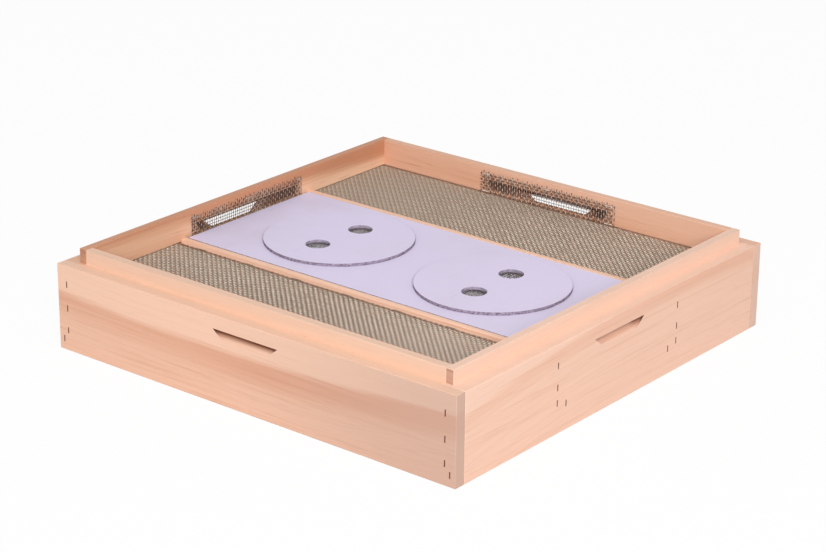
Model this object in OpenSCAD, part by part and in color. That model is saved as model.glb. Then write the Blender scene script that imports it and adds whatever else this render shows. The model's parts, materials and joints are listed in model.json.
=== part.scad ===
// Hive top feeder: a stacking wooden box with a covered syrup trough between two screened bays.
// Millimetres. The origin is the middle of the underside, +X runs right, +Y back and +Z up.

/* [Box] */
// Outside length of the box, left to right
box_x = 500; // [460:1:560]
// Outside depth of the box, front to back
box_y = 500; // [460:1:560]
// Height of the walls up to the outer ledge
ledge_z = 90; // [84:1:130]
// Thickness of the wall boards
wall_t = 25; // [22:0.5:30]
// Thickness of the raised lip inside the ledge
lip_t = 9; // [6:0.5:11]
// Height of the raised lip above the ledge
lip_h = 15; // [12:0.5:20]
// Thickness of the end tongue that laps a side board at each corner
corner_lap = 12.5; // [8:0.5:13]
// Play around a lip in the recess of the box above it
stack_play = 0.5; // [0.3:0.1:1]

/* [Vent slots] */
// Diameter of the saw that plunges the slots from inside
saw_d = 200; // [170:1:240]
// Width of the cut, square to the blade
saw_kerf = 8.5; // [6:0.1:9]
// Slope of the slots, falling towards the outside
vent_tilt = 30; // [25:1:33]
// Length of a slot along its upper edge outside
vent_l = 81; // [60:1:100]
// Depth of that edge below the ledge
vent_drop = 13.7; // [12:0.1:16]

/* [Screens] */
// Depth of the underside of the bay screens below the ledge
screen_drop = 15.9; // [15:0.1:20]
// Thickness of the woven screens
screen_t = 1.4; // [1:0.1:1.8]
// Distance between the bars that stand for the weave
net_pitch = 23; // [20:1:40]
// Width of those bars
net_bar = 2.4; // [1.4:0.1:4]
// Depth of the groove in the walls that takes the screen edges
groove_d = 4; // [3:0.5:6]
// Play of a screen's thickness in that groove
groove_play = 0.5; // [0.2:0.1:1]
// Play of a screen at its edges
screen_play = 0.5; // [0.2:0.1:1]
// Length of the vent screens on the front and back walls
vent_net_l = 175; // [165:1:200]
// Gap between a rail tongue and the vent screens on the end walls
vent_net_side_gap = 7; // [1:0.5:12]
// Height of a vent screen
vent_net_h = 22; // [18:0.5:24]
// Gap between a bay screen and the vent screen above it
vent_net_gap = 1; // [0.3:0.1:1.5]

/* [Rails] */
// Distance between the middles of the two rails
rail_pitch = 197.4; // [185:0.2:210]
// Width of a rail over both ledges
rail_w = 28.5; // [24:0.5:34]
// Depth of a rail below its ledges
rail_h = 14; // [10:0.5:18]
// Width of the tongue between the ledges
tongue_w = 7.1; // [6:0.1:12]
// Height of the tongue above the ledges
tongue_h = 5.4; // [5.2:0.1:8]
// How far the tongue stands nearer to the cover board than the middle of its rail
tongue_off = 0.7; // [0:0.1:2]

/* [Trough] */
// Height of the bee passage between a rail and the trough wall under it
bee_gap = 8; // [6:0.5:10]
// Thickness of the trough walls
trough_wall_t = 9; // [6:0.5:14]
// Thickness of the trough floor
trough_floor_t = 6; // [4:0.5:9]
// Height of the underside of the trough floor above the base
trough_floor_z = 11.5; // [8:0.5:15]
// Width of the cleats in the lower corners of the trough
cleat_w = 19; // [12:0.5:24]
// Height of those cleats
cleat_h = 19; // [12:0.5:22]

/* [Cover] */
// Thickness of the coated sheet of the cover board and the lids
sheet_t = 3.2; // [2.4:0.1:4]
// Gap between the cover board and a rail tongue
board_side_gap = 0.5; // [0.3:0.1:1]
// Play between the cover board and the tacks on the end walls
board_end_play = 1; // [0.5:0.1:2]
// Width of the cover board left bare on each side of a lid
lid_margin = 15.7; // [12:0.05:20]
// Distance between the two lids
lid_gap = 42.1; // [20:0.1:50]
// How far a lid overlaps the fill hole under it
lid_lap = 13.25; // [8:0.05:25]
// Diameter of a finger hole
finger_d = 25; // [18:0.5:28]
// Distance between the finger holes of a lid
finger_pitch = 61; // [45:0.5:68]
// How far the left lid lies turned
left_lid_turn = -5; // [-20:1:20]
// How far the right lid lies turned
right_lid_turn = 1; // [-20:1:20]
// How far the left lid lies towards the back
left_lid_back = 2.4; // [-4:0.1:4]
// How far the right lid lies towards the back
right_lid_back = 1.2; // [-4:0.1:4]
// How far both lids lie to the right
lids_right = -1; // [-3:0.1:3]

/* [Staples] */
// Length of a frame staple's crown
staple_crown = 6.6; // [5:0.1:10]
// Width of its wire
staple_w = 1.3; // [1:0.1:1.6]
// Thickness of its wire
staple_wire = 0.9; // [0.6:0.1:1.2]
// Length of its legs
staple_leg = 38; // [32:1:45]
// How far its crown stands proud of the wood
staple_proud = 0.2; // [0.1:0.1:0.5]
// Length of a screen tack's crown
tack_crown = 10; // [8:0.5:12]
// Width of its wire
tack_w = 0.9; // [0.6:0.1:1.4]
// Thickness of its wire
tack_wire = 0.6; // [0.4:0.1:0.8]
// Length of its legs
tack_leg = 8; // [6:0.5:12]
// Length of the legs that hold up the trough floor
floor_leg = 20; // [14:0.5:24]
// Tacks along each rail ledge
tacks_per_ledge = 7; // [3:1:12]
// Staples along each line under the trough floor
staples_per_line = 5; // [3:1:9]

/* [Hidden] */
$fn = 96;

// How far every cut runs past the face that it opens
overrun = 1;

// Faces of the box
half_x = box_x / 2;
half_y = box_y / 2;
in_x = half_x - wall_t;
in_y = half_y - wall_t;
top_z = ledge_z + lip_h;
recess_x = in_x + lip_t + stack_play;
recess_y = in_y + lip_t + stack_play;
recess_h = lip_h + stack_play;

// The saw's middle, measured along its slot from the slot's upper edge outside
saw_reach = sqrt(pow(saw_d / 2, 2) - pow(vent_l / 2, 2));

// Levels, from the screens down to the trough floor and up to the lids
screen_z = ledge_z - screen_drop;
screen_top = screen_z + screen_t;
groove_top = screen_top + groove_play;
rail_bottom = screen_z - rail_h;
trough_top = rail_bottom - bee_gap;
trough_bottom = trough_floor_z + trough_floor_t;
board_z = screen_top + tack_wire;
lid_z = board_z + sheet_t;
vent_net_z = screen_top + vent_net_gap;

// Lines along the box
rail_y = rail_pitch / 2;
tongue_in = rail_y - tongue_off - tongue_w / 2;
tongue_out = tongue_in + tongue_w;
trough_in = rail_y - trough_wall_t / 2;
trough_out = rail_y + trough_wall_t / 2;
cleat_y = trough_in - cleat_w / 2;
screen_x = in_x + groove_d - screen_play;
screen_y = in_y + groove_d - screen_play;
end_net_l = 2 * (tongue_in - vent_net_side_gap);

// Reach of the cover board, and the lids and holes that follow it
board_x = in_x - screen_t - tack_wire - board_end_play;
board_y = tongue_in - board_side_gap;
lid_d = 2 * (board_y - lid_margin);
lid_x = (lid_d + lid_gap) / 2;
fill_d = lid_d - 2 * lid_lap;

// Heights of the staples, as shares of the board that each row is driven into
corner_staple_shares = [0.24, 0.5, 0.78];
low_staple_share = 0.13;
low_staple_in_share = 0.26;
rail_staple_share = 0.62;
trough_staple_shares = [0.4, 0.85];
vent_tack_share = 0.46;

wood = "#eec09a";
rail_wood = "#f4c9a2";
trough_wood = "#d9b088";
coated_sheet = "#d9d0e6";
galvanised = "#a09a90";
staple_metal = "#6f6258";

// A block between two corners
module block(low, high) {
    translate(low)
        cube(high - low);
}

// Places a shape drawn on the front wall, outer face at y = 0, on the wall at this turn
module on_wall(turn) {
    reach = turn % 180 == 0 ? half_y : half_x;
    rotate([0, 0, turn])
        translate([0, -reach, 0])
            children();
}

// The step outside the lip, where the box above sits
module ledge_cut() {
    difference() {
        block([-half_x - overrun, -half_y - overrun, ledge_z],
              [half_x + overrun, half_y + overrun, top_z + overrun]);
        block([-in_x - lip_t, -in_y - lip_t, ledge_z - overrun],
              [in_x + lip_t, in_y + lip_t, top_z + 2 * overrun]);
    }
}

// The cuts that run round all four walls: base recess, ledge and screen groove
module ring_cuts() {
    block([-recess_x, -recess_y, -overrun], [recess_x, recess_y, recess_h]);
    ledge_cut();
    block([-in_x - groove_d, -in_y - groove_d, screen_z],
          [in_x + groove_d, in_y + groove_d, groove_top]);
}

// A sloping slot, sawn from inside by a tilted blade, on the wall's own face
module vent_cut() {
    translate([0, 0, ledge_z - vent_drop])
        rotate([vent_tilt, 0, 0])
            translate([0, saw_reach, -saw_kerf])
                cylinder(d = saw_d, h = saw_kerf);
}

// The front board, whose rabbeted ends lap the side boards
module long_board() {
    difference() {
        block([-half_x, -half_y, 0], [half_x, -in_y, top_z]);
        ring_cuts();
        for (side = [0, 1])
            mirror([side, 0, 0])
                block([in_x, -half_y + corner_lap, -overrun],
                      [half_x + overrun, -in_y + overrun, top_z + overrun]);
        on_wall(0)
            vent_cut();
    }
}

// The right-hand board, which fits between the laps
module short_board() {
    difference() {
        block([in_x, -half_y + corner_lap, 0], [half_x, half_y - corner_lap, top_z]);
        ring_cuts();
        on_wall(90)
            vent_cut();
    }
}

// A T-shaped rail along the box: one ledge each side of a low tongue
module rail() {
    block([-in_x, rail_y - rail_w / 2, rail_bottom], [in_x, rail_y + rail_w / 2, screen_z]);
    block([-in_x, tongue_in, screen_z], [in_x, tongue_out, screen_z + tongue_h]);
}

module trough_wall() {
    block([-in_x, trough_in, trough_bottom], [in_x, trough_out, trough_top]);
}

module cleat() {
    block([-in_x, trough_in - cleat_w, trough_bottom], [in_x, trough_in, trough_bottom + cleat_h]);
}

// A flat net of square bars, centred, lying on z = 0
module net(length, width) {
    columns = max(1, round((length - net_bar) / net_pitch));
    rows = max(1, round((width - net_bar) / net_pitch));
    step_x = (length - net_bar) / columns;
    step_y = (width - net_bar) / rows;
    linear_extrude(screen_t)
        difference() {
            square([length, width], center = true);
            for (i = [0 : columns - 1], j = [0 : rows - 1])
                translate([(i + 0.5) * step_x - (length - net_bar) / 2,
                           (j + 0.5) * step_y - (width - net_bar) / 2])
                    square([step_x - net_bar, step_y - net_bar], center = true);
        }
}

// A side bay's screen, from the wall groove to the tongue of its rail
module bay_screen() {
    low = tongue_out + screen_play;
    translate([0, (low + screen_y) / 2, screen_z])
        net(2 * screen_x, screen_y - low);
}

// A screen of this length, upright on the inside of a wall over its vent slot
module vent_screen(length) {
    translate([0, wall_t, vent_net_z + vent_net_h / 2])
        rotate([-90, 0, 0])
            net(length, vent_net_h);
}

// A lid with two finger holes, lying on the cover board
module lid(x, y, turn) {
    translate([x, y, lid_z])
        rotate([0, 0, turn])
            difference() {
                cylinder(d = lid_d, h = sheet_t);
                for (side = [-1, 1])
                    translate([0, side * finger_pitch / 2, -overrun])
                        cylinder(d = finger_d, h = sheet_t + 2 * overrun);
            }
}

// A staple with its crown along X and its legs along +Y
module staple(crown, width, wire, leg) {
    linear_extrude(width, center = true)
        difference() {
            translate([-crown / 2, 0])
                square([crown, leg]);
            translate([-crown / 2 + wire, wire])
                square([crown - 2 * wire, leg]);
        }
}

// A frame staple driven into a wall face, crown upright, at a place along and up the wall
module wall_staple(along, height) {
    translate([along, -staple_proud, height])
        rotate([0, -90, 0])
            staple(staple_crown, staple_w, staple_wire, staple_leg);
}

// Both ends of a line that runs along the box, as staples through the end walls
module end_staples(y, z) {
    for (turn = [90, 270], side = [-1, 1])
        on_wall(turn)
            wall_staple(side * y, z);
}

module corner_staple_set() {
    for (turn = [0, 180], side = [-1, 1])
        on_wall(turn) {
            for (share = corner_staple_shares)
                wall_staple(side * (half_x - wall_t / 2), share * ledge_z);
            wall_staple(side * (half_x - low_staple_in_share * wall_t), low_staple_share * ledge_z);
        }
}

module trough_staple_set() {
    for (share = trough_staple_shares)
        end_staples(rail_y, trough_bottom + share * (trough_top - trough_bottom));
    end_staples(cleat_y, trough_bottom + cleat_h / 2);
}

// Staples driven up through the trough floor into its walls and cleats
module floor_staple_set() {
    step = 2 * in_x / staples_per_line;
    for (y = [-rail_y, -cleat_y, cleat_y, rail_y], i = [0 : staples_per_line - 1])
        translate([(i + 0.5) * step - in_x, y, trough_floor_z - staple_proud])
            rotate([90, 0, 0])
                staple(staple_crown, staple_w, staple_wire, floor_leg);
}

// Tacks through the screen edges into the ledges on both sides of each rail
module ledge_tack_set() {
    edge = screen_play + net_bar / 2;
    step = 2 * in_x / tacks_per_ledge;
    for (y = [tongue_in - edge, tongue_out + edge], side = [-1, 1], i = [0 : tacks_per_ledge - 1])
        translate([(i + 0.5) * step - in_x, side * y, board_z])
            rotate([-90, 0, 0])
                staple(tack_crown, tack_w, tack_wire, tack_leg);
}

// A tack through the edge of a vent screen into the wall
module vent_tack(along, edge) {
    translate([along, wall_t + screen_t + tack_wire, vent_net_z + edge])
        rotate([0, 0, 180])
            staple(tack_crown, tack_w, tack_wire, tack_leg);
}

// Tacks at the corners and the top middle of a vent screen of this length
module vent_tack_row(length) {
    low_edge = net_bar / 2;
    high_edge = vent_net_h - net_bar / 2;
    for (side = [-1, 1], edge = [low_edge, high_edge])
        vent_tack(side * vent_tack_share * length, edge);
    vent_tack(0, high_edge);
}

module front_wall() {
    color(wood)
        long_board();
}

module back_wall() {
    color(wood)
        rotate([0, 0, 180])
            long_board();
}

module left_wall() {
    color(wood)
        rotate([0, 0, 180])
            short_board();
}

module right_wall() {
    color(wood)
        short_board();
}

module front_rail() {
    color(rail_wood)
        mirror([0, 1, 0])
            rail();
}

module back_rail() {
    color(rail_wood)
        rail();
}

module front_trough_wall() {
    color(trough_wood)
        mirror([0, 1, 0])
            trough_wall();
}

module back_trough_wall() {
    color(trough_wood)
        trough_wall();
}

module front_cleat() {
    color(trough_wood)
        mirror([0, 1, 0])
            cleat();
}

module back_cleat() {
    color(trough_wood)
        cleat();
}

module trough_floor() {
    color(trough_wood)
        block([-in_x, -trough_out, trough_floor_z], [in_x, trough_out, trough_bottom]);
}

module front_bay_screen() {
    color(galvanised)
        mirror([0, 1, 0])
            bay_screen();
}

// The screen under the cover board, which keeps bees in while syrup is poured through it
module middle_screen() {
    color(galvanised)
        translate([0, 0, screen_z])
            net(2 * screen_x, 2 * (tongue_in - screen_play));
}

module back_bay_screen() {
    color(galvanised)
        bay_screen();
}

module front_vent_screen() {
    color(galvanised)
        on_wall(0)
            vent_screen(vent_net_l);
}

module back_vent_screen() {
    color(galvanised)
        on_wall(180)
            vent_screen(vent_net_l);
}

module left_vent_screen() {
    color(galvanised)
        on_wall(270)
            vent_screen(end_net_l);
}

module right_vent_screen() {
    color(galvanised)
        on_wall(90)
            vent_screen(end_net_l);
}

// The loose board between the rails, with a fill hole under each lid
module cover_board() {
    color(coated_sheet)
        difference() {
            block([-board_x, -board_y, board_z], [board_x, board_y, lid_z]);
            for (side = [-1, 1])
                translate([side * lid_x, 0, board_z - overrun])
                    cylinder(d = fill_d, h = sheet_t + 2 * overrun);
        }
}

module left_lid() {
    color(coated_sheet)
        lid(lids_right - lid_x, left_lid_back, left_lid_turn);
}

module right_lid() {
    color(coated_sheet)
        lid(lids_right + lid_x, right_lid_back, right_lid_turn);
}

module corner_staples() {
    color(staple_metal)
        corner_staple_set();
}

module rail_staples() {
    color(staple_metal)
        end_staples(rail_y, rail_bottom + rail_staple_share * rail_h);
}

module trough_staples() {
    color(staple_metal)
        trough_staple_set();
}

module floor_staples() {
    color(staple_metal)
        floor_staple_set();
}

module bay_screen_tacks() {
    color(staple_metal)
        ledge_tack_set();
}

module vent_screen_tacks() {
    color(staple_metal)
        for (turn = [0, 180]) {
            on_wall(turn)
                vent_tack_row(vent_net_l);
            on_wall(turn + 90)
                vent_tack_row(end_net_l);
        }
}

front_wall();
back_wall();
left_wall();
right_wall();
front_rail();
back_rail();
front_trough_wall();
back_trough_wall();
front_cleat();
back_cleat();
trough_floor();
front_bay_screen();
middle_screen();
back_bay_screen();
front_vent_screen();
back_vent_screen();
left_vent_screen();
right_vent_screen();
cover_board();
left_lid();
right_lid();
corner_staples();
rail_staples();
trough_staples();
floor_staples();
bay_screen_tacks();
vent_screen_tacks();
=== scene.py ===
# %% [markdown]
# # Dressing a hive top feeder
# A top feeder is a shallow pine box that stacks on a beehive. A lilac board with two lifting lids
# covers the syrup trough in the middle, woven wire closes the bays on both sides, and a saw slot in
# each wall lets air through. The solids come packed as a fixed frame in metres. This lesson gives them
# wood, wire and coated sheet, and it never moves a solid: a piece that needs a finer shape is made anew
# in the same place and stands for the solid.

# %% Load the frame
import json
import math

import bmesh
import bpy
from mathutils import Matrix, Vector

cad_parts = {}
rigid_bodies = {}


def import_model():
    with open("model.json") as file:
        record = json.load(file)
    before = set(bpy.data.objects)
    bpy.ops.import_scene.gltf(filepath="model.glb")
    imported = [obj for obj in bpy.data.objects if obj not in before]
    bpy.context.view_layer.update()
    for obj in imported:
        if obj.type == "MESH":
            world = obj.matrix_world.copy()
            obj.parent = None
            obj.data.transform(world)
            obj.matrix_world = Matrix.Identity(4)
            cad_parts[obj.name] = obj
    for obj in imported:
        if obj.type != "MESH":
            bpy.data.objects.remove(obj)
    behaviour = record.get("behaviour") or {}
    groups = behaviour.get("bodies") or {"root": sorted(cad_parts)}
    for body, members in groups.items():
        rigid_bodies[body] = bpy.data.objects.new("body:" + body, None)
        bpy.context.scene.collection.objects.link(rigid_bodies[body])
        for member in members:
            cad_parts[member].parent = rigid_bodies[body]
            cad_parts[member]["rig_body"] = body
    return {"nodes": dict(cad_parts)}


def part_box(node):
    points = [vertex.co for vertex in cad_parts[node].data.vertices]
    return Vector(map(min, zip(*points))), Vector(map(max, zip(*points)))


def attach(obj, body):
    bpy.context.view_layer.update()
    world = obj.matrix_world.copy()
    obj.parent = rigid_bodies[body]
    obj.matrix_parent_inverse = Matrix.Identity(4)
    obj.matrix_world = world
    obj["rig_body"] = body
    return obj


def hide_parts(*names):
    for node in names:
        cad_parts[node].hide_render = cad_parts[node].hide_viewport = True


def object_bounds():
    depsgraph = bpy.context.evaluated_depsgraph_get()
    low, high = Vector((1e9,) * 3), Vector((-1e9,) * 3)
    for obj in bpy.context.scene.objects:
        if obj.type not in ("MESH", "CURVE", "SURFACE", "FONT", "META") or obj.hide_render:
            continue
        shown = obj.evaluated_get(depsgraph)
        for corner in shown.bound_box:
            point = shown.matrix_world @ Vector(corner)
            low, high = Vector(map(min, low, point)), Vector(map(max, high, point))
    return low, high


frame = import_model()
nodes = frame["nodes"]
cad_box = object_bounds()
scene = bpy.context.scene
MM = 0.001
HALF_SIDE = cad_box[1][0]

# %% [markdown]
# ## The camera
# The picture was taken from above the right front corner with a long lens, so lines that are parallel
# on the box stay nearly parallel. A camera can be aimed with a constraint, but three plain turns are
# easier to read: round the upright axis, down towards the box, and a small roll of the hand-held camera.

# %% Camera
CAMERA_PLACE = Vector((1.45786, -1.81566, 0.96782))
CAMERA_AZIMUTH = math.radians(38.782)
CAMERA_ELEVATION = math.radians(21.191)
CAMERA_ROLL = math.radians(0.5637)
CAMERA_LENS_MM = 108.558
SENSOR_WIDTH_MM = 36.0

lens = bpy.data.cameras.new("camera")
lens.sensor_fit = "HORIZONTAL"
lens.sensor_width = SENSOR_WIDTH_MM
lens.lens = CAMERA_LENS_MM
camera = bpy.data.objects.new("camera", lens)
aim = (Matrix.Rotation(CAMERA_AZIMUTH, 4, "Z")
       @ Matrix.Rotation(math.pi / 2 - CAMERA_ELEVATION, 4, "X")
       @ Matrix.Rotation(CAMERA_ROLL, 4, "Z"))
camera.matrix_world = Matrix.Translation(CAMERA_PLACE) @ aim
scene.collection.objects.link(camera)
scene.camera = camera
print("camera stands", round(CAMERA_PLACE.length, 2), "m from the middle of the box")

# %% [markdown]
# ## Node trees as sums
# Materials and Geometry Nodes are graphs, and a graph in a script soon drowns in links. One small class
# wraps a socket, so that a plain expression such as `1 - mask` adds the Math node for it. Every other
# node comes from the method `node`: its type, its settings, and the values or links of its sockets.

# %% A socket that can be written into an expression
class Term:
    def __init__(self, tree, socket=None):
        self.tree = tree
        self.socket = socket

    def node(self, kind, settings=None, sockets=None, output=0):
        """Adds a node, sets it up, feeds its sockets, and wraps the output that is asked for."""
        made = self.tree.nodes.new(kind)
        for name, value in (settings or {}).items():
            setattr(made, name, value)
        for name, value in (sockets or {}).items():
            if isinstance(value, Term):
                self.tree.links.new(value.socket, made.inputs[name])
            else:
                made.inputs[name].default_value = value
        return Term(self.tree, made.outputs[output]) if made.outputs else made

    def out(self, output):
        """Another output of the same node."""
        return Term(self.tree, self.socket.node.outputs[output])

    def math(self, operation, first, second=0.0):
        return self.node("ShaderNodeMath", {"operation": operation}, {0: first, 1: second})

    def __add__(self, other):
        return self.math("ADD", self, other)

    def __radd__(self, other):
        return self.math("ADD", other, self)

    def __sub__(self, other):
        return self.math("SUBTRACT", self, other)

    def __rsub__(self, other):
        return self.math("SUBTRACT", other, self)

    def __mul__(self, other):
        return self.math("MULTIPLY", self, other)

    def __rmul__(self, other):
        return self.math("MULTIPLY", other, self)

    def __truediv__(self, other):
        return self.math("DIVIDE", self, other)

    def __pow__(self, other):
        return self.math("POWER", self, other)

    def rise(self, low, high):
        """0 below low, 1 above high, and a smooth step between them."""
        return self.node("ShaderNodeMapRange", {"interpolation_type": "SMOOTHSTEP"},
                         {"Value": self, "From Min": low, "From Max": high})

    def tint(self, base, colour):
        """The base colour turned towards another by this value."""
        return self.node("ShaderNodeMix", {"data_type": "RGBA"},
                         {0: self, 6: base, 7: colour}, output=2)


print("a Term can", ", ".join(name for name in vars(Term) if not name.startswith("__")))

# %% [markdown]
# ## What every material needs
# An empty tree, a colour, a noise, and a place made finer or stretched come back in every material.
# Blender has groups for that, but short functions keep each material readable as a recipe. The
# distance from the middle is counted squarely, because the walls of the box stand in a square.

# %% Helpers for materials
def paint(red, green, blue):
    """A colour as a screen shows it, 0 to 255, in the linear light that shaders work in."""
    def linear(value):
        share = value / 255
        return share / 12.92 if share <= 0.04045 else ((share + 0.055) / 1.055) ** 2.4
    return (linear(red), linear(green), linear(blue), 1.0)


def new_material(name):
    material = bpy.data.materials.new(name)
    material.use_nodes = True
    material.node_tree.nodes.clear()
    return material, Term(material.node_tree)


def finish_material(name, start, sockets, constants):
    """Ends a tree in one principled shader, with what varies linked and the rest set on its sockets."""
    shader = start.node("ShaderNodeBsdfPrincipled", {}, {**sockets, **constants})
    start.node("ShaderNodeOutputMaterial", {}, {"Surface": shader})
    print("material", name, "has", len(start.tree.nodes), "nodes")


def object_place(start):
    return start.node("ShaderNodeTexCoord", output="Object")


def parts(vector):
    """The X of a vector. Its Y and Z are further outputs of the same node."""
    return vector.node("ShaderNodeSeparateXYZ", {}, {0: vector})


def scaled(vector, scale):
    return vector.node("ShaderNodeVectorMath", {"operation": "SCALE"}, {0: vector, "Scale": scale})


def stretched(vector, steps):
    """The vector scaled by a number of its own along each axis."""
    return vector.node("ShaderNodeVectorMath", {"operation": "MULTIPLY"}, {0: vector, 1: steps})


def noise(vector, detail=3.0, roughness=0.55):
    return vector.node("ShaderNodeTexNoise", {}, {"Vector": vector, "Scale": 1.0, "Detail": detail,
                                                  "Roughness": roughness})


def outermost(place):
    """How far out a point lies from the middle of the box, counted squarely."""
    x = parts(place)
    return x.math("MAXIMUM", x.math("ABSOLUTE", x), x.math("ABSOLUTE", x.out("Y")))


print("a mid grey of 128 is", round(paint(128, 128, 128)[0], 3), "in linear light")

# %% [markdown]
# ## The studio floor
# The box was taken on a white sweep, with so much soft light that it throws hardly a shadow. A floor
# bright enough to look white would light the box too much, so the floor shines white only for rays that
# come from the camera, a mirror or glass. For all other rays it is an ordinary pale grey floor. It is
# part painted light, part real, and so keeps a shadow. Under the box it is all real, because there the
# walls keep the light out and it shows dark through the screens.

# %% Floor
FLOOR_SIZE = 12.0
FLOOR_WHITE = paint(252, 252, 252)
FLOOR_GREY = paint(205, 205, 205)
FLOOR_GLOW_SHARE = 0.93
FLOOR_DROP = 0.2 * MM
OPEN_FROM, OPEN_TO = HALF_SIDE - 2 * MM, HALF_SIDE - MM


def seen_rays(start):
    """1 for rays that a viewer follows to the background: straight, mirrored or through glass."""
    straight = start.node("ShaderNodeLightPath", output="Is Camera Ray")
    others = straight.out("Is Glossy Ray") + straight.out("Is Transmission Ray")
    return start.math("MINIMUM", straight + others, 1.0)


floor_paint, start = new_material("floor_paint")
seen = seen_rays(start)
matt = start.node("ShaderNodeBsdfDiffuse", {}, {"Color": seen.tint(FLOOR_GREY, FLOOR_WHITE)})
glow = start.node("ShaderNodeEmission", {}, {"Strength": 1.0})
open_floor = outermost(object_place(start)).rise(OPEN_FROM, OPEN_TO)
floor_mix = start.node("ShaderNodeMixShader", {},
                       {0: seen * open_floor * FLOOR_GLOW_SHARE, 1: matt, 2: glow})
start.node("ShaderNodeOutputMaterial", {}, {"Surface": floor_mix})

floor_mesh = bpy.data.meshes.new("floor")
half = FLOOR_SIZE / 2
floor_mesh.from_pydata([(x, y, -FLOOR_DROP) for x, y in
                        ((-half, -half), (half, -half), (half, half), (-half, half))],
                       [], [(0, 1, 2, 3)])
floor_mesh.materials.append(floor_paint)
floor = bpy.data.objects.new("floor", floor_mesh)
scene.collection.objects.link(floor)
print("floor", FLOOR_SIZE, "m wide, glow share", FLOOR_GLOW_SHARE)

# %% [markdown]
# ## The sky
# The room behind the box is white as well. The sky does what the floor does: it is white for the rays
# that a viewer follows, and for the rest a sky of plain strength that lights the box evenly.

# %% Sky
SKY_STRENGTH = 0.42
SKY_WHITE = paint(255, 255, 255)

sky = bpy.data.worlds.new("sky")
scene.world = sky
sky.use_nodes = True
sky.node_tree.nodes.clear()
start = Term(sky.node_tree)
plain_sky = start.node("ShaderNodeBackground", {}, {"Color": SKY_WHITE, "Strength": SKY_STRENGTH})
white_sky = start.node("ShaderNodeBackground", {}, {"Color": SKY_WHITE, "Strength": 1.0})
sky_mix = start.node("ShaderNodeMixShader", {}, {0: seen_rays(start), 1: plain_sky, 2: white_sky})
start.node("ShaderNodeOutputWorld", {}, {"Surface": sky_mix})
scene.view_settings.view_transform = "Standard"
print("sky strength", SKY_STRENGTH)

# %% [markdown]
# ## Two soft lamps
# A sky alone is flat, and wires and edges need a direction. A wide lamp a little above the camera stands
# for the softbox: it reaches the upright faces inside the box, and its shadows fall away from the
# viewer. A weaker one hangs high over the box. They only add what the sky leaves out, so a colour still
# renders about as it is written.

# %% Lamps
LAMPS = {"softbox": (Vector((3.2, -3.42, 2.5)), 2.3, 206.0),
         "overhead": (Vector((0.6, -0.9, 2.2)), 1.2, 6.5)}

for name, (place, size, watts) in LAMPS.items():
    lamp = bpy.data.lights.new(name, "AREA")
    lamp.shape = "SQUARE"
    lamp.size = size
    lamp.energy = watts
    holder = bpy.data.objects.new(name, lamp)
    aim = (-place).to_track_quat("-Z", "Y").to_matrix().to_4x4()
    holder.matrix_world = Matrix.Translation(place) @ aim
    scene.collection.objects.link(holder)
    print(name, size, "m wide,", round(place.length, 2), "m away,", watts, "W")

# %% [markdown]
# ## Pine: the lines of the grain
# The boards are planed pine: cream sapwood, and redder heartwood in a band that slopes a little along
# the board. A picture of wood would stretch round the corners. Here the rings are laid in space, as in
# a log, so that they run along the faces and turn into arcs on the board ends. The distance from the
# heart of the log is bent by a slow noise and then drives a second noise, which makes lines of uneven
# width that all follow the rings. Fine fibres and short resin lines lie along the grain.

# %% Lines of the grain
LOG_DEPTH = 0.11
RING_BEND = 0.014
RINGS_PER_M = 620.0
WIDE_RINGS_PER_M = 110.0
WIDE_RINGS_LAYER = 7.0


def grain_lines(grain, drift):
    """The lines of a board: its slow bend, rings, wide rings, streaks, fibres and resin lines. drift is
    how far the rings have sunk or risen along the board."""
    along = parts(grain)
    across, over_heart = along.out("Y"), along.out("Z") + LOG_DEPTH
    bend = noise(stretched(grain, (2.6, 10.0, 10.0)), detail=2.0) - 0.5
    ring = (across * across + over_heart * over_heart) ** 0.5 - drift + bend * RING_BEND
    ring_place = grain.node("ShaderNodeCombineXYZ", {}, {0: ring * RINGS_PER_M, 1: along * 2.0})
    rings = noise(ring_place, detail=4.0, roughness=0.65).rise(0.46, 0.70)
    wide_place = grain.node("ShaderNodeCombineXYZ", {}, {0: ring * WIDE_RINGS_PER_M, 1: along * 1.4,
                                                         2: WIDE_RINGS_LAYER})
    wide = noise(wide_place, detail=3.0, roughness=0.6).rise(0.36, 0.70)
    streak = noise(stretched(grain, (7.0, 360.0, 360.0)), detail=4.0, roughness=0.6)
    fibre = noise(stretched(grain, (26.0, 1500.0, 1500.0)), detail=2.0)
    resin = noise(stretched(grain, (30.0, 1100.0, 1100.0)), detail=1.0).rise(0.68, 0.76)
    return bend, rings, wide, streak, fibre, resin


print("about", round(RINGS_PER_M * cad_box[1][2]), "fine ring lines over the height of a board")

# %% [markdown]
# ## Pine: wear, end grain, painted shade and stains
# Used wood tells where it was cut and wetted, and some of the colour here is painted light. The outer
# face of the front board is painted duller towards its right end, partly greyer wood and partly painted
# shade, and the ledge and lip tops are greyer. The end grain drinks dirt. The depth of each saw slot is
# painted in shade. The wood behind the vent nets has dark blots, dirt and the painted shadows of the
# wires, and the ledge under each screen has the painted shadow of the rail with some grime. Each could
# be an image mask, but all of them follow from where a point lies, so they are worked out: by the
# distance inwards from the outer face, the height, and the marks on the faces of the mesh.

# %% Wear, end grain, painted shade and stains
END_GRAIN = paint(209, 174, 157)
PALE_END = paint(232, 202, 188)
LIP_END = paint(172, 120, 94)
SLOT_SHADE = paint(146, 84, 52)
DEEP_SLOT_SHADE = paint(88, 38, 18)
DULL_SHADE = paint(200, 166, 150)
DULL_SHADE_SHARE = 0.66
LEDGE_GREY = paint(190, 174, 154)
NET_SHADE_AND_STAIN = paint(108, 60, 36)
SHADE_AND_STAIN_SHARE = 0.5
BLOTS_PER_M = 330.0
NET_LOW, NET_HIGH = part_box("front_vent_screen")
NET_FADE = 2 * MM


def face_mark(start, mark):
    return start.node("ShaderNodeAttribute", {"attribute_name": mark}, output="Fac")


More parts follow.
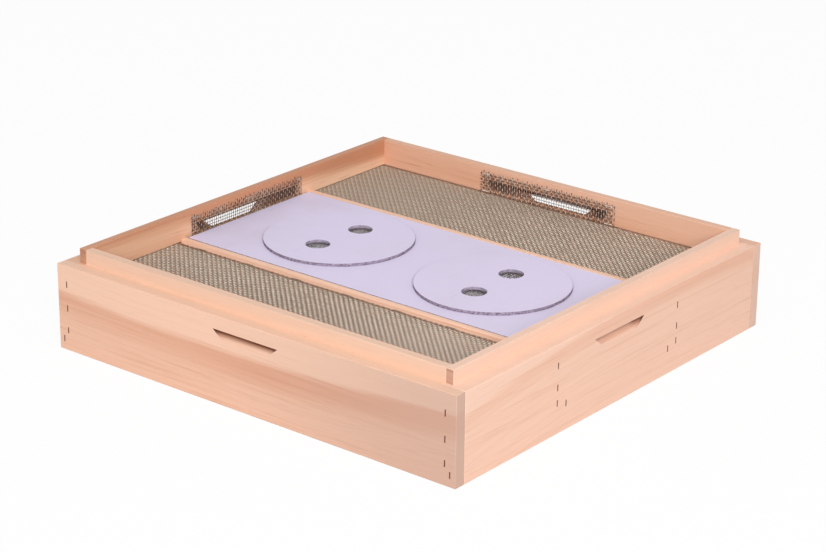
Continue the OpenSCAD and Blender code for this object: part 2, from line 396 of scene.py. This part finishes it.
def dulled_and_greyed(colour, reach, height, inward, bend, dull_from, ledge_grey):
    """The outer face turns duller past dull_from, partly greyer wood and partly painted shade.
    The ledge and lip tops turn greyer.
    """
    outside = 1.0 - inward.rise(0.3 * MM, 1.0 * MM)
    # Painted shade, partly greyer wood: the outer face turns duller along the board past dull_from.
    dull_shade = outside * (reach + bend * 0.2).rise(dull_from - 0.12, dull_from + 0.22)
    colour = (dull_shade * DULL_SHADE_SHARE).tint(colour, DULL_SHADE)
    ledge = inward.rise(1.5 * MM, 2.5 * MM) * (1.0 - inward.rise(22 * MM, 24 * MM))
    ledge = ledge * height.rise(88.0 * MM, 89.5 * MM)
    return (ledge * ledge_grey).tint(colour, LEDGE_GREY)


def sawn_and_shaded(colour, reach, inward, rings, streak, fibre, end, end_grain, scorched):
    """The end grain of boards and lip, and painted shade in each saw slot, darkest deep in the wall."""
    end_colour = inward.rise(10 * MM, 12 * MM).tint(end_grain, LIP_END)
    colour = (end * (0.62 + rings * 0.3)).tint(colour, end_colour)
    # Painted shade deep in each saw slot; where the near part gets little, only the far end is shaded.
    scorch = (inward + (streak - 0.5) * (4 * MM)).rise(2.5 * MM, 8.0 * MM)
    scorch = scorch * (scorched + reach.rise(22 * MM, 32 * MM) * (1.0 - scorched))
    burnt = inward.rise(9 * MM, 15 * MM).tint(SLOT_SHADE, DEEP_SLOT_SHADE)
    cut = face_mark(inward, "saw_cut")
    return (cut * scorch * (0.75 + fibre * 0.25)).tint(colour, burnt)


def behind_net(reach, height, inward):
    """1 on the inside of a wall where the vent net covers it, fading out at its edges."""
    side = NET_HIGH.x - NET_FADE
    along = 1.0 - reach.math("ABSOLUTE", reach).rise(side - NET_FADE, side + NET_FADE)
    above = height.rise(NET_LOW.z - NET_FADE, NET_LOW.z)
    below = 1.0 - height.rise(NET_HIGH.z - NET_FADE, NET_HIGH.z)
    inner_face = inward.rise(24.0 * MM, 24.5 * MM) * (1.0 - inward.rise(25.5 * MM, 26.0 * MM))
    return along * (above * below) * inner_face


def net_and_ledge_shade(colour, place, reach, height, inward, ledge_shade_and_grime):
    """Blots behind the vent nets, dirt with painted shadows of the wires, and on the ledge that carries
    a screen the painted shadow of the rail, with some grime.
    """
    # Painted shadows of the net's wires on the wood, with dirt.
    blot = noise(scaled(place, BLOTS_PER_M), detail=2.0).rise(0.36, 0.58)
    shade_and_stain = blot * behind_net(reach, height, inward)
    colour = (shade_and_stain * SHADE_AND_STAIN_SHARE).tint(colour, NET_SHADE_AND_STAIN)
    # Painted shadow of the rail on the ledge under a screen, with some grime.
    on_ledge = height.rise(73.5 * MM, 73.9 * MM) * (1.0 - height.rise(74.3 * MM, 74.9 * MM))
    return (ledge_shade_and_grime * on_ledge * (0.5 + blot * 0.4)).tint(colour, NET_SHADE_AND_STAIN)


print("vent nets stain", round((NET_HIGH.z - NET_LOW.z) / MM, 1), "mm of the wall's height")

# %% [markdown]
# ## Pine: one recipe for all boards
# Every board is cut elsewhere in the log, so one function makes its material from the place in the log
# and the line between the two woods. First comes the colour of the wood, then its lines, then what use
# has done to it. The fibres and rings also lift the surface a little, because planed pine is never
# quite smooth.

# %% Pine material
RING_LINE = paint(214, 154, 122)
RESIN = paint(168, 100, 74)
FIBRE_SHARE = 0.30
EDGE_BEND = 0.004
NEVER = 9.0


def pine(name, turn, shift, sapwood, heartwood, heart, dull_from=NEVER, ledge_shade_and_grime=0.0, scorched=1.0,
         figure=1.0, end_grain=END_GRAIN, ledge_grey=0.12):
    """Pine with its grain along X, or along Y for a quarter turn. shift moves the board in the log.
    heart gives the line between the two woods: its height, slope and curve along the board, its tilt
    inwards, its blur, and the band of the reddest wood below it. dull_from is counted along the board
    from its middle; past it the outer face is painted duller, partly greyer wood, partly painted shade.
    scorched is how strongly the near part of the slot is painted in shade, figure how strong the lines
    are in the heartwood, and handled how grey the ledge is."""
    material, start = new_material(name)
    place = object_place(start)
    height = parts(place).out("Z")
    inward = HALF_SIDE - outermost(place)
    grain = start.node("ShaderNodeMapping", {}, {"Vector": place, "Rotation": (0.0, 0.0, turn),
                                                 "Location": shift})
    along = parts(grain)
    reach = along - shift[0]
    drift = reach * (heart["slope"] + reach * heart["curve"])
    bend, rings, wide, streak, fibre, resin = grain_lines(grain, drift)

    edge = drift + (heart["height"] + shift[2]) + bend * EDGE_BEND
    inside = edge + inward * heart["tilt"] - along.out("Z")
    blur, band = heart["blur"], heart["band"]
    in_heart = (inside + (streak - 0.5) * (2 * blur)).rise(-blur, blur)
    near_edge = 1.0 - inside.rise(0.3 * band, band)
    redder = reach.rise(-0.2, 0.2)
    depth = 0.22 + streak.rise(0.3, 0.7) * 0.16 + near_edge * (0.34 + redder * 0.4)
    colour = (in_heart * depth).tint(sapwood, heartwood)

    figured = in_heart * figure
    colour = (rings * (0.08 + figured * 0.14) + wide * 0.05).tint(colour, RING_LINE)
    colour = (streak.rise(0.52, 0.75) * (0.10 + figured * 0.38)).tint(colour, RING_LINE)
    colour = (resin * (0.04 + figured * 0.36)).tint(colour, RESIN)
    colour = (fibre.rise(0.5, 0.85) * FIBRE_SHARE).tint(colour, RING_LINE)

    end = face_mark(start, "end_grain")
    colour = dulled_and_greyed(colour, reach, height, inward, bend, dull_from, ledge_grey)
    colour = sawn_and_shaded(colour, reach, inward, rings, streak, fibre, end, end_grain, scorched)
    colour = net_and_ledge_shade(colour, place, reach, height, inward, ledge_shade_and_grime)
    relief = fibre * 0.6 + rings * 0.4 + resin * 0.3
    bump = start.node("ShaderNodeBump", {}, {"Strength": 0.25, "Distance": 0.25 * MM, "Height": relief})
    finish_material(name, start,
                    {"Base Color": colour, "Roughness": 0.52 + rings * 0.12 + end * 0.2, "Normal": bump},
                    {"Specular IOR Level": 0.28})
    return material


print("the line between the woods wavers by up to", round(EDGE_BEND / 2 / MM, 1), "mm")

# %% [markdown]
# ## Six cuts of pine
# The front board has a red heart that rises to both ends, and its outer face is painted duller towards
# the right end, partly painted shade. The right one has a pale heart that arches. The left one is
# painted darker and redder at the top and lighter at the foot, partly its wood and partly painted shade
# and light. The rails and the trough are plain strips.

# %% Pine of each board
ALONG = 0.0
ACROSS = math.radians(-90)
CREAM = paint(250, 207, 181)
PINK_CREAM = paint(253, 213, 191)
ROSY_CREAM = paint(245, 198, 171)
DEEP_CREAM = paint(240, 191, 163)
WARM_SHADED_TOP = paint(206, 144, 110)
PALE_HEART = paint(229, 171, 139)
RED_HEART = paint(224, 163, 133)
ROSY_HEART = paint(243, 192, 165)
WARM_LIT_FOOT = paint(247, 204, 172)


def heart_line(height, slope, blur, curve=0.0, tilt=0.0, band=34 * MM):
    return {"height": height, "slope": slope, "curve": curve, "tilt": tilt, "blur": blur, "band": band}


# Painted shade, partly greyer wood: the front face turns duller towards its right end.
front_pine = pine("front_pine", ALONG, (0.31, 0.02, 0.0), CREAM, RED_HEART,
                  heart_line(57.2 * MM, 0.020, 4 * MM, curve=0.145), dull_from=0.06, ledge_grey=0.22)
back_pine = pine("back_pine", ALONG, (1.70, 0.05, 0.03), DEEP_CREAM, PALE_HEART,
                 heart_line(90 * MM, -0.08, 20 * MM), end_grain=PALE_END)
# Painted shade and light, partly redder wood: the left wall darker at the top, lighter at the foot.
left_pine = pine("left_pine", ACROSS, (2.30, -0.30, 0.01), WARM_SHADED_TOP, WARM_LIT_FOOT,
                 heart_line(94 * MM, -0.036, 8 * MM))
right_pine = pine("right_pine", ACROSS, (0.85, 0.21, 0.02), PINK_CREAM, ROSY_HEART,
                  heart_line(93 * MM, 0.048, 4 * MM, curve=-0.265, tilt=-4.0, band=22 * MM),
                  scorched=0.3, figure=0.45)
# The rails carry the painted shadow on the ledges under the screens.
rail_pine = pine("rail_pine", ALONG, (3.10, 0.12, 0.06), CREAM, ROSY_CREAM,
                 heart_line(70 * MM, 0.02, 20 * MM), ledge_shade_and_grime=1.0)
trough_pine = pine("trough_pine", ALONG, (4.40, 0.08, -0.02), CREAM, RED_HEART,
                   heart_line(40 * MM, 0.04, 20 * MM))

# %% [markdown]
# ## Coated sheet
# The board and its lids are thin fibreboard with a lilac coating. The faces are smooth and even, with
# a faint cloudiness and a few rubs, and the sawn edges show the dark core. The left end of the board is
# painted greyer, a painted shade with some dust. The two could be two materials, but the coating ends
# in a ragged line at the edge, so one material mixes them by a mark on the faces and a little noise.

# %% Coated sheet material
LILAC = paint(231, 221, 247)
LILAC_CLOUD = paint(224, 212, 231)
SMUDGE_AND_SHADE = paint(188, 178, 180)
CORE = paint(160, 147, 164)
CORE_DARK = paint(108, 96, 110)
CLOUDS_PER_M = 9.0
GRIT_PER_M = 900.0
CRUMBS_PER_M = 420.0

coated_sheet, start = new_material("coated_sheet")
place = object_place(start)
cloud = noise(scaled(place, CLOUDS_PER_M), detail=4.0).rise(0.35, 0.75)
grit = noise(scaled(place, GRIT_PER_M), detail=2.0)
rub = noise(stretched(place, (60.0, 14.0, 60.0)), detail=5.0, roughness=0.7).rise(0.64, 0.80)
cut = face_mark(start, "cut_edge")
# Painted shade with some dust: the board greys towards its left end.
left_end = (0.0 - parts(place)).rise(0.10, 0.22)
rubs_and_shade = rub * 0.4 + left_end * (cloud * 0.25 + grit * 0.05)
face_colour = rubs_and_shade.tint((cloud * 0.45).tint(LILAC, LILAC_CLOUD), SMUDGE_AND_SHADE)
core_colour = noise(scaled(place, CRUMBS_PER_M), detail=2.0).rise(0.38, 0.60).tint(CORE_DARK, CORE)
core_share = start.math("MINIMUM", 0.75 + grit * 0.4, 1.0)
sheet_colour = (cut * core_share).tint(face_colour, core_colour)
sheet_bump = start.node("ShaderNodeBump", {}, {"Strength": 0.2, "Distance": 0.2 * MM,
                                               "Height": grit * (0.15 + cut * 0.85)})
finish_material("coated_sheet", start,
                {"Base Color": sheet_colour, "Roughness": 0.56 + rub * 0.15 + cut * 0.25,
                 "Normal": sheet_bump},
                {"Specular IOR Level": 0.16})

# %% [markdown]
# ## Wire and staples
# The screens are galvanised steel wire, dull and spotted with zinc. Their colour also holds painted
# light: on a lying cloth a wire is painted lighter at one height in the weave and darker at another, and
# on an upright net lighter the further it stands out from the wall, a painted highlight on the
# crossings. The cloth of the bays is also painted lighter and with more contrast towards the right, and
# a painted shadow of the rails darkens it beside them. The staples are dark brown, their steel with the
# painted shade of the dents they sit in, with a worn top. All are small, so the spots have to be small
# too: the noise is counted in hundreds and thousands to the metre.

# %% Metal material
HAZE_PER_M = 25.0
MID_TONE = 0.42
RAIL_EDGE = (102 * MM, 112 * MM)
NET_MIDDLE = -(NET_LOW.y + NET_HIGH.y) / 2


def lying_cloth(shaded_at, lit_at):
    """How light a wire is painted on a lying cloth: painted shade at one height and a painted highlight
    at another, more painted light and contrast to the right, and a painted shadow by the rails.
    """
    def lit(place, light_share):
        across = parts(place)
        depth, height = across.out("Y"), across.out("Z")
        # Painted highlight and shade: a wire is lighter at one height in the weave than at another.
        crest = height.rise(shaded_at, lit_at) * (0.3 + light_share * 1.1)
        # Painted light: more contrast towards the right, and more light there, less at the far side.
        contrast = 0.2 + (across - depth * 0.5).rise(-0.35, 0.2) * 1.1
        far = depth.rise(-0.15, 0.15)
        painted_light = across.rise(-0.05, 0.2) * (0.34 - far * 0.22) - far * 0.06
        # Painted shadow of the rails on the cloth beside them.
        rail_shadow = 1.0 - depth.math("ABSOLUTE", depth).rise(*RAIL_EDGE)
        return MID_TONE + (crest - MID_TONE) * contrast + painted_light - rail_shadow * 0.25
    return lit


def upright_net(place, light_share):
    """How light a wire is painted on an upright net: a painted highlight where it stands out from the
    wall, and painted shade over the whole left net.
    """
    # Painted shade on the left net; below, a painted highlight where a wire stands out from the wall.
    shaded_side = (0.0 - parts(place)).rise(0.20, 0.21) * 0.4
    crest = (NET_MIDDLE - outermost(place)).rise(0.05 * MM, 0.4 * MM)
    return crest * (0.5 + light_share * 0.8) * (1.0 - shaded_side)


def metal(name, dark, light, spots, metallic, rough, lit=None):
    """Spotted metal. lit works out how light a wire is at a place, from how light its spots are."""
    material, start = new_material(name)
    place = object_place(start)
    spot = noise(scaled(place, spots), detail=3.0).rise(0.38, 0.66)
    haze = noise(scaled(place, HAZE_PER_M), detail=2.0)
    light_share = spot * 0.7 + haze * 0.3
    if lit:
        light_share = lit(place, light_share)
    bump = start.node("ShaderNodeBump", {}, {"Strength": 0.15, "Distance": 0.05 * MM, "Height": spot})
    finish_material(name, start,
                    {"Base Color": light_share.tint(dark, light),
                     "Roughness": rough + spot * 0.15, "Metallic": metallic - spot * 0.2,
                     "Normal": bump}, {})
    return material


print("vent nets stand", round((HALF_SIDE - NET_MIDDLE) / MM, 1), "mm inside the outer faces")

# %% [markdown]
# ## Seven metals
# The two sets of wires in a bay catch the light differently, so each has a metal of its own, one
# painted lit and one painted in shade. The nets in the vents are dark brown, part stain and part painted
# shade, with a lit and a shaded metal too. The screen under the board lies in gloom, and its wire is
# painted pale lilac-grey, a painted light that lifts it. The tacks are plain, and the staples carry the
# painted shade of their dents.

# %% Metals
ZINC = paint(255, 249, 238)
ZINC_DULL_AND_SHADED = paint(178, 160, 138)
LEAD_GREY = paint(214, 197, 177)
LEAD_DULL_AND_SHADED = paint(150, 132, 112)
STAINED_AND_SHADED = paint(60, 34, 22)
STAINED_HIGHLIGHT = paint(250, 230, 214)
SHADED = paint(150, 114, 96)
# Painted light: the wire under the board is pale lilac-grey, lifting the finger holes out of gloom.
PAINTED_GLOOM_GREY = paint(166, 158, 162)
PAINTED_GLOOM_LIGHT = paint(255, 250, 253)
TACK = paint(140, 125, 108)
TACK_LIGHT = paint(186, 172, 152)
# Painted shade: the staples' dark brown stands for their steel with the shade of the dent round them.
STEEL_AND_DENT_SHADE = paint(82, 44, 26)
STEEL_WORN = paint(126, 76, 50)
CLOTH_LEVEL = 74.925 * MM
BAY_SPOTS, NET_SPOTS, TACK_SPOTS, STAPLE_SPOTS = 330.0, 430.0, 1400.0, 2200.0

# A lit and a shaded copy of one wire: painted light and shade that draw the weave's slanting lines.
lit_bay_wire = metal("lit_bay_wire", ZINC_DULL_AND_SHADED, ZINC, BAY_SPOTS, 0.25, 0.36,
                    lying_cloth(CLOTH_LEVEL - 0.05 * MM, CLOTH_LEVEL + 0.42 * MM))
shaded_bay_wire = metal("shaded_bay_wire", LEAD_DULL_AND_SHADED, LEAD_GREY, BAY_SPOTS, 0.4, 0.42,
                  lying_cloth(CLOTH_LEVEL + 0.4 * MM, CLOTH_LEVEL + 0.05 * MM))
# A lit and a shaded copy of the net wire: dark brown, part stain and part painted shade.
lit_stained_wire = metal("lit_stained_wire", STAINED_AND_SHADED, STAINED_HIGHLIGHT, NET_SPOTS, 0.25, 0.42, upright_net)
shaded_wire = metal("shaded_wire", STAINED_AND_SHADED, SHADED, NET_SPOTS, 0.25, 0.42, upright_net)
gloomy_wire = metal("gloomy_wire", PAINTED_GLOOM_GREY, PAINTED_GLOOM_LIGHT, NET_SPOTS, 0.2, 0.55)
tack_wire = metal("tack_wire", TACK, TACK_LIGHT, TACK_SPOTS, 0.4, 0.42)
staple_wire = metal("staple_wire", STEEL_AND_DENT_SHADE, STEEL_WORN, STAPLE_SPOTS, 0.4, 0.5)

# %% [markdown]
# ## Boards with rounded edges
# A planed board has no knife edges: a light hand takes the corners off, and that thin line catches the
# light. A Bevel modifier would also round the saw slots, whose torn edges are sharp, and would choke on
# their short arcs. So each board is a welded copy of its solid, and only the edges away from the slots
# are bevelled. The faces are marked on the way: the saw slots are the only slanting faces, and the end
# grain is where the grain meets a face square on.

# %% A welded and rounded copy of a solid
WELD = 0.002 * MM
FLAT_ANGLE = math.radians(0.5)
SHARP_ANGLE = math.radians(30)
SQUARE_ON = 0.995


def is_slanting(face):
    return max(abs(part) for part in face.normal) < SQUARE_ON


def rounded_copy(node, material, round_over, marks, has_slot=False):
    """A copy of a solid with its sharp edges rounded and its faces marked, standing for the solid."""
    form = bmesh.new()
    form.from_mesh(nodes[node].data)
    bmesh.ops.remove_doubles(form, verts=form.verts, dist=WELD)
    bmesh.ops.dissolve_limit(form, angle_limit=FLAT_ANGLE, verts=form.verts, edges=form.edges)
    form.normal_update()
    cut = form.faces.layers.float.new("saw_cut")
    for face in form.faces:
        face[cut] = float(has_slot and is_slanting(face))
    sharp = [edge for edge in form.edges if edge.calc_face_angle_signed(0.0) > SHARP_ANGLE
             and not any(face[cut] for face in edge.link_faces)]
    bmesh.ops.bevel(form, geom=sharp, offset=round_over, segments=2, profile=0.5, affect="EDGES",
                    clamp_overlap=True, loop_slide=True)
    low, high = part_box(node)
    for vert in form.verts:
        vert.co = [min(max(part, least), most) for part, least, most in zip(vert.co, low, high)]
    form.normal_update()
    for mark, is_marked in marks.items():
        layer = form.faces.layers.float.new(mark)
        for face in form.faces:
            face[layer] = float(is_marked(face))
    for face in form.faces:
        face.smooth = is_slanting(face)
    for edge in form.edges:
        edge.smooth = edge.calc_face_angle(0.0) < SHARP_ANGLE
    mesh = bpy.data.meshes.new(node + "_dressed")
    form.to_mesh(mesh)
    form.free()
    mesh.materials.append(material)
    piece = bpy.data.objects.new(node + "_dressed", mesh)
    scene.collection.objects.link(piece)
    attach(piece, nodes[node]["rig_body"])
    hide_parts(node)
    print(piece.name, "rounded", len(sharp), "edges,", len(mesh.polygons), "faces")


print("points closer than", round(WELD / MM, 4), "mm are welded")

# %% [markdown]
# ## Wooden pieces
# The four walls have the saw slots. The rails get rounder edges than the boards, because the cover
# board is lifted in and out between them. The hidden strips of the trough only lose their sharpness.

# %% Wooden pieces
BOARD_ROUND = 0.5 * MM
STRIP_ROUND = 0.4 * MM
RAIL_ROUND = 1.2 * MM
end_along_x = {"end_grain": lambda face: abs(face.normal.x) > SQUARE_ON}
end_along_y = {"end_grain": lambda face: abs(face.normal.y) > SQUARE_ON}

rounded_copy("front_wall", front_pine, BOARD_ROUND, end_along_x, has_slot=True)
rounded_copy("back_wall", back_pine, BOARD_ROUND, end_along_x, has_slot=True)
rounded_copy("left_wall", left_pine, BOARD_ROUND, end_along_y, has_slot=True)
rounded_copy("right_wall", right_pine, BOARD_ROUND, end_along_y, has_slot=True)
for strip in ("front_rail", "back_rail"):
    rounded_copy(strip, rail_pine, RAIL_ROUND, end_along_x)
for strip in ("front_trough_wall", "back_trough_wall", "front_cleat", "back_cleat", "trough_floor"):
    rounded_copy(strip, trough_pine, STRIP_ROUND, end_along_x)

# %% [markdown]
# ## Board and lids
# The sheet is only a few millimetres thick, so its edge is nearly all that gives it away. A small
# rounding on the rims keeps the coating's edge soft, and every face that doesn't look straight up or
# down is marked as cut, so that it shows the core.

# %% Coated pieces
SHEET_ROUND = 0.25 * MM
HOLE_WALL_SHARE = 0.8
RIM_SHARE = 0.97


def cut_marks(middle, reach):
    """Marks how much of the dark core a face shows: none on top, some in the holes, all on the rims."""
    def cut_share(face):
        if abs(face.normal.z) > SQUARE_ON:
            return 0.0
        offset = face.calc_center_median() - middle
        return 1.0 if offset.xy.length > RIM_SHARE * reach else HOLE_WALL_SHARE
    return {"cut_edge": cut_share}


for sheet in ("cover_board", "left_lid", "right_lid"):
    low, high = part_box(sheet)
    marks = cut_marks((low + high) / 2, (high.y - low.y) / 2)
    rounded_copy(sheet, coated_sheet, SHEET_ROUND, marks)

# %% [markdown]
# ## Woven wire
# The screens are plain weave: each wire goes over one and under the next, and its neighbour does the
# opposite. That is why the cloth shows slanting light lines from a low angle: the high crossings lie on
# the diagonals. A flat texture would lose this from the side, so the wires are real. In Geometry Nodes
# a grid has a point at each crossing, the edges that cross the wires are deleted, the rest become
# curves, and one product of two cosines lifts them over and under.

# %% Crimped lines
SAME_ROW = 0.01 * MM


def straight_lines(start, given, length):
    """Parallel lines, from the rows of a grid."""
    grid = start.node("GeometryNodeMeshGrid", {},
                      {"Size X": length, "Size Y": (given["Wires"] - 1) * given["Pitch"],
                       "Vertices X": given["Crossings"] * given["Samples"] + 1,
                       "Vertices Y": given["Wires"]})
    ends = start.node("GeometryNodeInputMeshEdgeVertices", output="Position 1")
    step = start.node("ShaderNodeVectorMath", {"operation": "SUBTRACT"},
                      {0: ends, 1: ends.out("Position 2")})
    sideways = parts(step).out("Y")
    crossing = start.math("GREATER_THAN", start.math("ABSOLUTE", sideways), SAME_ROW)
    rows = start.node("GeometryNodeDeleteGeometry", {"domain": "EDGE", "mode": "EDGE_FACE"},
                      {"Geometry": grid, "Selection": crossing})
    return start.node("GeometryNodeMeshToCurve", {}, {"Mesh": rows})


def crimped(start, given, lines, spot):
    """The lines lifted over and under by turns, half a wave from one crossing to the next."""
    spot_x = parts(spot)
    phase_x = (spot_x / given["Pitch"] + (given["Crossings"] - 1) * 0.5) * math.pi
    phase_y = (spot_x.out("Y") / given["Pitch"] + (given["Wires"] - 1) * 0.5) * math.pi
    lift = start.math("COSINE", phase_x) * start.math("COSINE", phase_y) * given["Crimp"]
    return start.node("GeometryNodeSetPosition", {},
                      {"Geometry": lines, "Offset": start.node("ShaderNodeCombineXYZ", {}, {2: lift})})


print("grid edges that go more than", round(SAME_ROW / MM, 3), "mm sideways are deleted")

# %% [markdown]
# ## From lines to wire
# Snipped ends are uneven, so a random length comes off each line, more at one end than at the other. One
# slow noise moves both sets of wires alike, so the cloth stays woven when it wanders. A ring of five or
# six corners drawn along the lines makes the tubes: a wire this thin looks round, and more corners
# would only add faces. The last turn and move put the cloth in its place.

# %% The weave as a node tree
NEAR_END_SHARE = 0.3
WANDER_PER_M = 28.0
INPUTS = {"Wires": "Int", "Crossings": "Int", "Samples": "Int", "Sides": "Int", "Seed": "Int",
          "Pitch": "Float", "Radius": "Float", "Crimp": "Float", "Wander": "Float", "Ragged": "Float",
          "Spin": "Float", "Turn": "Rotation", "Place": "Vector", "Metal": "Material"}


def snipped(start, given, lines, length):
    index = start.node("GeometryNodeInputIndex")
    near, far = (start.node("FunctionNodeRandomValue", {"data_type": "FLOAT"},
                            {2: 0.0, 3: given["Ragged"], "ID": index, "Seed": given["Seed"] + side},
                            output=1) for side in range(2))
    return start.node("GeometryNodeTrimCurve", {"mode": "LENGTH"},
                      {"Curve": lines, 4: near * NEAR_END_SHARE, 5: length - far})


def wandering(start, given, lines, spot):
    slow = start.node("ShaderNodeTexNoise", {}, {"Vector": spot, "Scale": WANDER_PER_M, "Detail": 2.0},
                      output="Color")
    drift = start.node("ShaderNodeVectorMath", {"operation": "SUBTRACT"}, {0: slow, 1: (0.5, 0.5, 0.5)})
    return start.node("GeometryNodeSetPosition", {},
                      {"Geometry": lines, "Offset": scaled(drift, given["Wander"])})


def weave_tree():
    tree = bpy.data.node_groups.new("weave", "GeometryNodeTree")
    tree.is_modifier = True
    for name, kind in INPUTS.items():
        tree.interface.new_socket(name, in_out="INPUT", socket_type="NodeSocket" + kind)
    tree.interface.new_socket("Cloth", in_out="OUTPUT", socket_type="NodeSocketGeometry")
    start = Term(tree)
    entry = start.node("NodeGroupInput")
    given = {name: entry.out(name) for name in INPUTS}
    length = given["Crossings"] * given["Pitch"]
    spot = start.node("GeometryNodeInputPosition")

    lines = crimped(start, given, straight_lines(start, given, length), spot)
    lines = snipped(start, given, lines, length)
    spin = start.node("ShaderNodeCombineXYZ", {}, {2: given["Spin"]})
    lines = start.node("GeometryNodeTransform", {}, {"Geometry": lines, "Rotation": spin})
    lines = wandering(start, given, lines, spot)
    ring = start.node("GeometryNodeCurvePrimitiveCircle", {"mode": "RADIUS"},
                      {"Resolution": given["Sides"], "Radius": given["Radius"]})
    tubes = start.node("GeometryNodeCurveToMesh", {}, {"Curve": lines, "Profile Curve": ring,
                                                       "Fill Caps": True})
    smooth = start.node("GeometryNodeSetShadeSmooth", {}, {"Geometry": tubes})
    stood = start.node("GeometryNodeTransform", {},
                       {"Geometry": smooth, "Rotation": given["Turn"], "Translation": given["Place"]})
    real = start.node("GeometryNodeRealizeInstances", {}, {"Geometry": stood})
    dressed = start.node("GeometryNodeSetMaterial", {}, {"Geometry": real, "Material": given["Metal"]})
    start.node("NodeGroupOutput", {}, {0: dressed})
    return tree


weave = weave_tree()
weave_inputs = {item.name: item.identifier for item in weave.interface.items_tree
                if item.in_out == "INPUT"}
print("weave tree has", len(weave.nodes), "nodes and", len(weave_inputs), "inputs")

# %% [markdown]
# ## Cutting cloth to each opening
# One function lays a set of wires into the box of a screen's solid. The wires that run the long way and
# those that run the short way are two pieces, which keeps each mesh small. The result is taken from
# the evaluated object as a plain mesh, and the modifier goes.

# %% Lying screens
PITCH = 3.24 * MM
WIRE = 0.75 * MM
LONG_CRIMP = 0.25 * MM
CROSS_CRIMP = WIRE - LONG_CRIMP
WANDER = 0.5 * MM
QUARTER = math.radians(90)
SNUG = 1.0 * MM


def wire_set(name, node, sizes):
    """One set of parallel wires of a screen, as a mesh piece. sizes are inputs of the weave tree."""
    piece = bpy.data.objects.new(name, bpy.data.meshes.new(name + "_start"))
    scene.collection.objects.link(piece)
    modifier = piece.modifiers.new("weave", "NODES")
    modifier.node_group = weave
    for socket, value in {"Pitch": PITCH, "Wander": WANDER, **sizes}.items():
        modifier[weave_inputs[socket]] = value
    bpy.context.view_layer.update()
    made = piece.evaluated_get(bpy.context.evaluated_depsgraph_get())
    mesh = bpy.data.meshes.new_from_object(made)
    piece.modifiers.clear()
    piece.data = mesh
    mesh.name = name
    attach(piece, nodes[node]["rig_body"])
    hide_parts(node)
    triangles = sum(len(face.vertices) - 2 for face in mesh.polygons)
    print(name, sizes["Wires"], "wires,", triangles, "triangles")


def flat_screen(node, snug, sides, samples, seed, long_metal, cross_metal):
    """A screen that lies on the rails, moved by snug towards one of them."""
    low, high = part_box(node)
    size, middle = high - low, (low + high) / 2 + Vector((0, snug, CROSS_CRIMP - WIRE / 2))
    long_wires, cross_wires = int(size.y / PITCH), 2 * int(size.x / PITCH / 2) + 1
    shared = {"Turn": (0.0, 0.0, 0.0), "Place": middle, "Radius": WIRE / 2, "Ragged": 0.0,
              "Sides": sides, "Samples": samples, "Seed": seed}
    wire_set(node + "_long_wires", node,
             {"Wires": long_wires, "Crossings": cross_wires, "Spin": 0.0, "Crimp": LONG_CRIMP,
              "Metal": long_metal, **shared})
    wire_set(node + "_cross_wires", node,
             {"Wires": cross_wires, "Crossings": long_wires, "Spin": QUARTER, "Crimp": -CROSS_CRIMP,
              "Metal": cross_metal, **shared})


flat_screen("front_bay_screen", SNUG, sides=6, samples=2, seed=11,
            long_metal=shaded_bay_wire, cross_metal=lit_bay_wire)
flat_screen("back_bay_screen", -SNUG, sides=6, samples=2, seed=12,
            long_metal=shaded_bay_wire, cross_metal=lit_bay_wire)
flat_screen("middle_screen", 0.0, sides=5, samples=1, seed=13,
            long_metal=gloomy_wire, cross_metal=gloomy_wire)

# %% [markdown]
# ## Vent screens
# The strips over the slots were snipped from the same cloth by hand, so their wires end unevenly, and
# along the top a lying wire or two have slipped off and left a comb. The same tree makes them, with
# fewer lying wires and a random length taken off each end, and stands them against the wall.

# %% Upright screens
RAGGED = 2.0 * MM
VENT_WIRE = 0.68 * MM
NET_DROP = 1.0 * MM
SLIPPED_OFF = {"front": 1, "back": 1, "left": 2, "right": 1}
FIRST_SEED = 30
CROSS_SEED_STEP = 5


def upright_screen(node, slipped, seed):
    """A net that stands against a wall, with some lying wires slipped off at the top."""
    low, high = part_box(node)
    size, middle = high - low, (low + high) / 2
    turn = (QUARTER, 0.0, QUARTER if size.y > size.x else 0.0)
    rows, cross_wires = round(size.z / PITCH) + 1, 2 * int(max(size.x, size.y) / PITCH / 2) + 1
    middle.z = low.z + rows * PITCH / 2 - NET_DROP
    lower = middle - Vector((0, 0, slipped * PITCH / 2))
    shared = {"Turn": turn, "Radius": VENT_WIRE / 2, "Ragged": RAGGED, "Sides": 6, "Samples": 2}
    wire_set(node + "_long_wires", node,
             {"Wires": rows - slipped, "Crossings": cross_wires, "Spin": 0.0, "Crimp": VENT_WIRE / 2,
              "Place": lower, "Seed": seed, "Metal": shaded_wire, **shared})
    wire_set(node + "_cross_wires", node,
             {"Wires": cross_wires, "Crossings": rows, "Spin": QUARTER, "Crimp": -VENT_WIRE / 2,
              "Place": middle, "Seed": seed + CROSS_SEED_STEP, "Metal": lit_stained_wire, **shared})


for number, (side, slipped) in enumerate(SLIPPED_OFF.items()):
    upright_screen(side + "_vent_screen", slipped, FIRST_SEED + number)

# %% [markdown]
# ## Staples and tacks
# The gun drives a flat crown nearly flush. The solids already stand in the right places, so each set is
# a copy with its wire edges rounded. The tacks in the vents are as stained as the nets they hold.

# %% Staples
STAPLE_ROUND = 0.15 * MM
for staples in ("corner_staples", "rail_staples", "trough_staples", "floor_staples"):
    rounded_copy(staples, staple_wire, STAPLE_ROUND, {})
rounded_copy("bay_screen_tacks", tack_wire, STAPLE_ROUND, {})
rounded_copy("vent_screen_tacks", lit_stained_wire, STAPLE_ROUND, {})

# %% [markdown]
# ## The size of the solids
# Looks must not change sizes, so the last line prints the box of the solids.

# %% Sizes and finish
print("cad box", [tuple(round(part, 4) for part in corner) for corner in cad_box])
